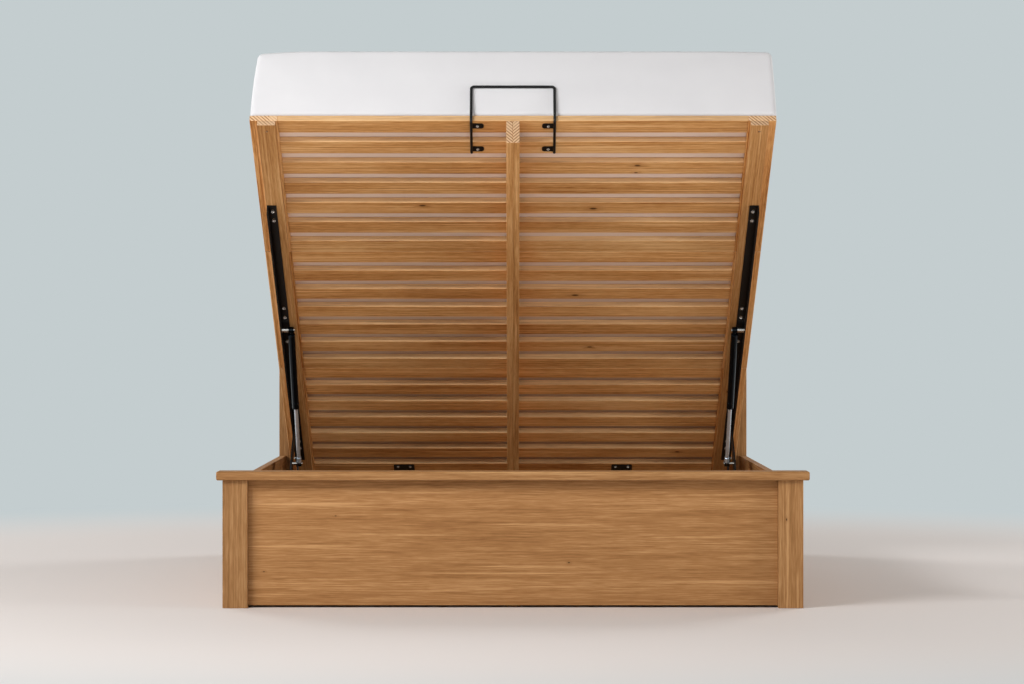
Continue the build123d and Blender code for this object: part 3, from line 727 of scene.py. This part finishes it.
def fill_out(piece, low, high):
    """Fills out the sheet's sides with a cloth simulation. Its taped edges, its top and its
    underside are held, and no other point moves further than its fullness."""
    mesh = piece.data
    start = [vert.co.copy() for vert in mesh.vertices]
    tight = []
    for index, spot in enumerate(start):
        sides = [min(spot[axis] - low[axis], high[axis] - spot[axis]) for axis in range(3)]
        if sorted(sides)[1] < TAPE_WIDTH or sides[2] < FACE_DEPTH:
            tight.append(index)
    held = piece.vertex_groups.new(name="taped_edges")
    held.add(tight, 1.0, "REPLACE")
    sheet = piece.modifiers.new("sheet", "CLOTH")
    sheet.settings.vertex_group_mass = held.name
    sheet.settings.quality = 5
    sheet.settings.use_pressure = True
    sheet.settings.uniform_pressure_force = SHEET_PRESSURE
    sheet.settings.effector_weights.gravity = 0
    sheet.settings.tension_stiffness = SHEET_STIFFNESS
    sheet.settings.compression_stiffness = SHEET_STIFFNESS
    sheet.settings.bending_stiffness = SHEET_BENDING
    for moment in range(1, SHEET_MOMENTS + 1):
        bpy.context.scene.frame_set(moment)
    view_layer = bpy.context.evaluated_depsgraph_get()
    moved = bpy.data.meshes.new_from_object(piece.evaluated_get(view_layer))
    piece.modifiers.remove(sheet)
    piece.vertex_groups.remove(held)
    bpy.context.scene.frame_set(1)
    for vert, was, now in zip(mesh.vertices, start, moved.vertices):
        way = now.co - was
        most = RISE_FULLNESS if abs(way.z) > 0.6 * way.length else SIDE_FULLNESS
        vert.co = was + way * min(1.0, most / max(way.length, 1e-9))
    bpy.data.meshes.remove(moved)


# The cotton: a plain weave with slubs, softly creased. Underneath, between the slats, it has
# painted reflected light, a warm tone from the wood, and painted shade that darkens it towards the
# head.
THREAD_PITCH = 0.0011
SOFT_CELLS, SLUB_CELLS = 5.0, (500.0, 60.0, 500.0)
UNDERSIDE_EDGE = (0.0200, 0.0235)
UNDERSIDE_SHADE_SPAN = (-1.6, -0.2)
cloth = Finish("white_cotton")
x, y, z = cloth.places(**DECK_FRAME)
warp, weft, rise = ((place * (2 * math.pi / THREAD_PITCH)).wave() for place in (x, y, z))
weave = warp * weft + rise * 0.5
soft = cloth.noise(cloth.join(x, y, z), SOFT_CELLS, 4.0)
threads = (place * cells for place, cells in zip((x, y, z), SLUB_CELLS))
slub = cloth.noise(cloth.join(*threads), 1.0)
cloth.relief(weave * 0.03 + soft * 1.0 + slub * 0.03, 0.006, 0.30)
sheet_color = cloth.mix(soft, paint(229, 229, 232), paint(217, 217, 221))
# Painted light and shade on the underside: a warm tone for light reflected from the slats,
# darkening to painted shade towards the head.
under = cloth.mix(cloth.between(y, *UNDERSIDE_SHADE_SPAN), paint(226, 204, 190), paint(186, 152, 124))
sheet_color = cloth.mix(cloth.between(z, *UNDERSIDE_EDGE, 1.0, 0.0), sheet_color, under)
white_cotton = cloth.surface(Base_Color=sheet_color, Roughness=0.86 + (slub - 0.5) * 0.1,
                             Sheen_Weight=0.15)

lowest, highest = deck_box("mattress")
mattress = show("fitted_sheet_mattress", covered_mattress(lowest, highest), white_cotton)
fill_out(mattress, lowest, highest)
mattress.data.transform(to_world)
finer = mattress.modifiers.new("finer", "SUBSURF")
finer.levels = finer.render_levels = 1
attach(mattress, "lift_deck")
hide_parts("mattress")

# The studio floor: pale and matt, lit by the lamps alone. To the camera and to mirroring
# steel it fades into the backdrop, with no edge between them.
FLOOR_COLOR = paint(227, 220, 217)
BACKDROP = paint(196, 205, 207)
FLOOR_REACH, FLOOR_SIDES = 9.0, 96
FADE_START, FADE_END = 2.2, 4.2

paving = Finish("pale_floor")
x, y, _ = paving.places()
fade = paving.between((x * x + y * y).root(), FADE_START, FADE_END) * paving.backdrop_rays()
glow = paving.add("ShaderNodeEmission", {}, {"Color": BACKDROP, "Strength": 1.0})
pale_floor = paving.surface(Base_Color=FLOOR_COLOR, Roughness=0.75)
lit = Number(paving, paving.shader.outputs[0])
faded = paving.add("ShaderNodeMixShader", {}, {0: fade, 1: lit, 2: glow})
paving.feed(paving.tree.nodes["Material Output"].inputs["Surface"], faded)
shape = bmesh.new()
bmesh.ops.create_circle(shape, cap_ends=True, segments=FLOOR_SIDES, radius=FLOOR_REACH)
floor_mesh = bpy.data.meshes.new("studio_floor")
shape.to_mesh(floor_mesh)
shape.free()
show("studio_floor", floor_mesh, pale_floor, smooth=False)


# The lamps: the key on the camera's left, a large soft one behind the camera, one on the
# right, one on the floor that shines up under the raised deck, and two behind the bed.
def soft_lamp(name, place, aim, width, height, watts):
    lamp = bpy.data.lights.new(name, "AREA")
    lamp.shape = "RECTANGLE"
    lamp.size = width
    lamp.size_y = height
    lamp.energy = watts
    holder = bpy.data.objects.new(name, lamp)
    holder.location = place
    holder.rotation_euler = (Vector(aim) - Vector(place)).to_track_quat("-Z", "Y").to_euler()
    holder.visible_camera = False
    bpy.context.scene.collection.objects.link(holder)


soft_lamp("key", (-3.9, -4.6, 3.3), (1.3, -0.9, 0.6), 3.4, 0.8, 275.0)
soft_lamp("front", (-0.6, -9.6, 2.1), (0, 0, 0.7), 3.2, 3.8, 85.0)
soft_lamp("side", (5.2, -2.2, 1.05), (0.4, -0.2, 1.0), 1.2, 1.0, 94.0)
soft_lamp("low", (0, -2.5, 0.05), (0, -2.49, 1.0), 3.0, 1.2, 13.0)
soft_lamp("back_left", (-4.6, 4.6, 3.4), (0, 0.4, 0.6), 2.6, 2.6, 150.0)
soft_lamp("back_right", (4.6, 4.6, 3.4), (0, 0.4, 0.6), 2.6, 2.6, 150.0)

# The sky: the backdrop to the camera and to mirroring steel, and an even, faintly warm
# light to everything else.
SKY_LIGHT = (0.215, 0.200, 0.175)
world = bpy.data.worlds.new("studio_sky")
bpy.context.scene.world = world
sky = Finish("studio_sky", world)
sky.surface(Color=sky.mix(sky.backdrop_rays(), SKY_LIGHT, BACKDROP), Strength=1.0)

# The camera: level, square on to the foot of the bed, at the photograph's distance.
# Its focal length and its shift are in the photograph's pixels.
SENSOR = 36.0
PHOTO_WIDTH = 1024.0
FOCAL_PIXELS = 3067.0
SHIFT_PIXELS = (-0.93, -12.92)
CAMERA_PLACE = (0.0, -9.61635, 0.7785)
camera_data = bpy.data.cameras.new("photo_view")
camera_data.sensor_width = SENSOR
camera_data.lens = FOCAL_PIXELS * SENSOR / PHOTO_WIDTH
camera_data.shift_x, camera_data.shift_y = (shift / PHOTO_WIDTH for shift in SHIFT_PIXELS)
camera_data.clip_end = 60.0
camera = bpy.data.objects.new("photo_view", camera_data)
camera.location = CAMERA_PLACE
camera.rotation_euler = (math.radians(90), 0, 0)
bpy.context.scene.collection.objects.link(camera)
bpy.context.scene.camera = camera
bpy.context.scene.view_settings.view_transform = "Standard"
